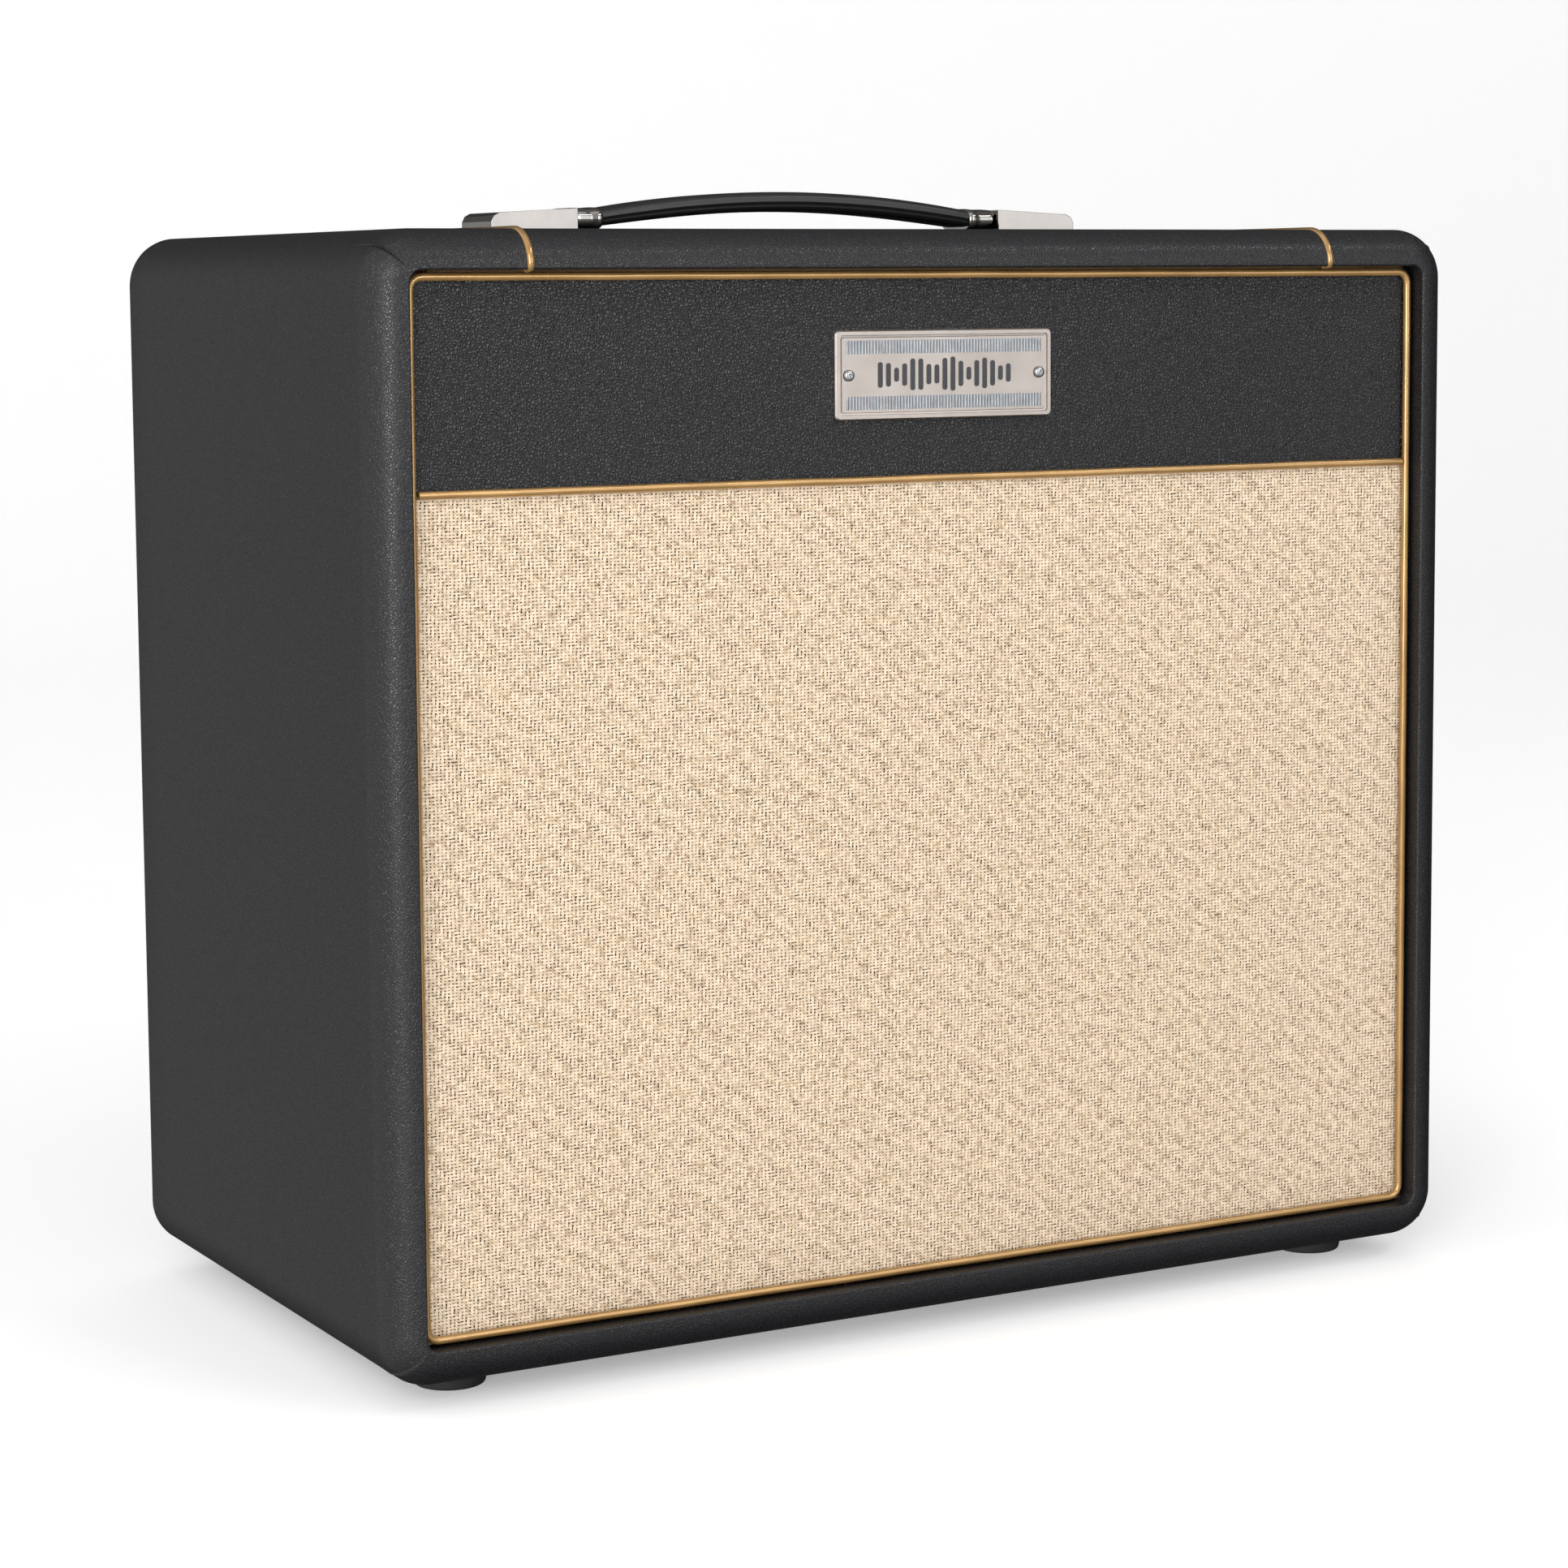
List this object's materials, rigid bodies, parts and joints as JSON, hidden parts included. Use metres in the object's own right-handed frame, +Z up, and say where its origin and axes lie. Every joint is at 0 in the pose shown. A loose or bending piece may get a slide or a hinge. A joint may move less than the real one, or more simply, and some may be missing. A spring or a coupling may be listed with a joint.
{
  "type": "guitar amplifier",
  "caption": "Combo guitar amplifier: vinyl-covered plywood cabinet with gold piping, woven grille, top controls, open back and loudspeaker.",
  "frame": {"origin": "middle of the footprint, on the floor under the feet", "axes": "+Z up, the grille faces -Y, +X to the right seen from the front"},
  "size_m": [0.534, 0.2938, 0.4993],
  "materials": {
    "cabinet_wood": "sanded birch plywood",
    "black_vinyl": "black grained vinyl covering, satin",
    "grille_fabric": "cream woven grille cloth",
    "gold_bead": "gold piping bead",
    "nickel": "polished nickel plate",
    "steel_screw": "zinc plated steel",
    "handle_rubber": "moulded black rubber, satin",
    "foot_rubber": "black rubber",
    "chassis_steel": "zinc plated sheet steel",
    "panel_enamel": "black enamelled sheet aluminium",
    "vent_metal": "black painted steel grille",
    "transformer_paint": "black painted iron laminations and covers",
    "valve_glass": "clear blown glass",
    "ceramic_socket": "glazed ceramic",
    "board_laminate": "phenolic board",
    "capacitor_sleeve": "shrunk plastic sleeve",
    "black_plastic": "moulded black plastic",
    "pot_steel": "plated steel can",
    "knob_plastic": "black moulded knob",
    "lamp_glass": "red jewel in a plated holder",
    "speaker_paint": "grey painted pressed steel",
    "ferrite": "matt ferrite",
    "cone_paper": "pressed dark paper pulp",
    "coil_former": "wound paper former",
    "lead_rubber": "black flexible lead"
  },
  "bodies": {
    "cabinet": {"top_board": "cabinet_wood", "bottom_board": "cabinet_wood", "left_side_board": "cabinet_wood", "right_side_board": "cabinet_wood", "cabinet_covering": "black_vinyl", "front_battens": "cabinet_wood", "rear_battens": "cabinet_wood", "baffle_board": "cabinet_wood", "grille_cloth": "grille_fabric", "fascia_board": "cabinet_wood", "fascia_covering": "black_vinyl", "frame_piping": "gold_bead", "divider_piping": "gold_bead", "top_piping": "gold_bead", "badge_plate": "nickel", "badge_screws": "nickel", "handle_cap_left": "nickel", "handle_cap_right": "nickel", "handle_cap_screws": "nickel", "feet": "foot_rubber", "foot_screws": "steel_screw", "lower_back_panel": "black_vinyl", "upper_back_panel": "black_vinyl", "back_vent_grille": "vent_metal", "back_panel_screws": "nickel", "chassis_tray": "chassis_steel", "control_panel": "panel_enamel", "chassis_bolts": "steel_screw", "mains_transformer": "transformer_paint", "output_transformer": "transformer_paint", "valve_sockets": "ceramic_socket", "power_valves": "valve_glass", "preamp_valves": "valve_glass", "circuit_board": "board_laminate", "filter_capacitors": "capacitor_sleeve", "potentiometers": "pot_steel", "panel_nuts": "nickel", "input_jacks": "black_plastic", "speaker_jacks": "black_plastic", "mains_inlet": "black_plastic", "fuse_holder": "black_plastic", "switch_bodies": "black_plastic", "pilot_lamp": "lamp_glass", "speaker_basket": "speaker_paint", "speaker_bolts": "steel_screw", "speaker_magnet": "ferrite", "magnet_plates": "steel_screw", "speaker_cable": "lead_rubber"},
    "handle": {"handle_strap": "handle_rubber", "handle_ferrules": "nickel"},
    "volume_knob": {"volume_knob": "knob_plastic"},
    "treble_knob": {"treble_knob": "knob_plastic"},
    "middle_knob": {"middle_knob": "knob_plastic"},
    "bass_knob": {"bass_knob": "knob_plastic"},
    "reverb_knob": {"reverb_knob": "knob_plastic"},
    "standby_rocker": {"standby_rocker": "black_plastic"},
    "power_rocker": {"power_rocker": "black_plastic"},
    "cone": {"speaker_cone": "cone_paper", "dust_cap": "cone_paper", "voice_coil": "coil_former"}
  },
  "joints": [
    {"name": "volume_knob_turn", "type": "hinge", "parent": "cabinet", "child": "volume_knob", "pos_m": [-0.08, 0.082, 0.4691], "axis": [0, 0, 1], "range_deg": [-150, 150]},
    {"name": "treble_knob_turn", "type": "hinge", "parent": "cabinet", "child": "treble_knob", "pos_m": [-0.042, 0.082, 0.4691], "axis": [0, 0, 1], "range_deg": [-150, 150]},
    {"name": "middle_knob_turn", "type": "hinge", "parent": "cabinet", "child": "middle_knob", "pos_m": [-0.004, 0.082, 0.4691], "axis": [0, 0, 1], "range_deg": [-150, 150]},
    {"name": "bass_knob_turn", "type": "hinge", "parent": "cabinet", "child": "bass_knob", "pos_m": [0.034, 0.082, 0.4691], "axis": [0, 0, 1], "range_deg": [-150, 150]},
    {"name": "reverb_knob_turn", "type": "hinge", "parent": "cabinet", "child": "reverb_knob", "pos_m": [0.072, 0.082, 0.4691], "axis": [0, 0, 1], "range_deg": [-150, 150]},
    {"name": "standby_rocker_rock", "type": "hinge", "parent": "cabinet", "child": "standby_rocker", "pos_m": [0.122, 0.082, 0.4669], "axis": [1, 0, 0], "range_deg": [0, 24]},
    {"name": "power_rocker_rock", "type": "hinge", "parent": "cabinet", "child": "power_rocker", "pos_m": [0.15, 0.082, 0.4669], "axis": [1, 0, 0], "range_deg": [0, 24]},
    {"name": "cone_travel", "type": "slide", "parent": "cabinet", "child": "cone", "axis": [0, -1, 0], "range_m": [-0.003, 0.003], "stiffness_N_per_m": 6000},
    {"name": "handle_lift", "type": "slide", "parent": "cabinet", "child": "handle", "axis": [0, 0, 1], "range_m": [0, 0.004]}
  ]
}
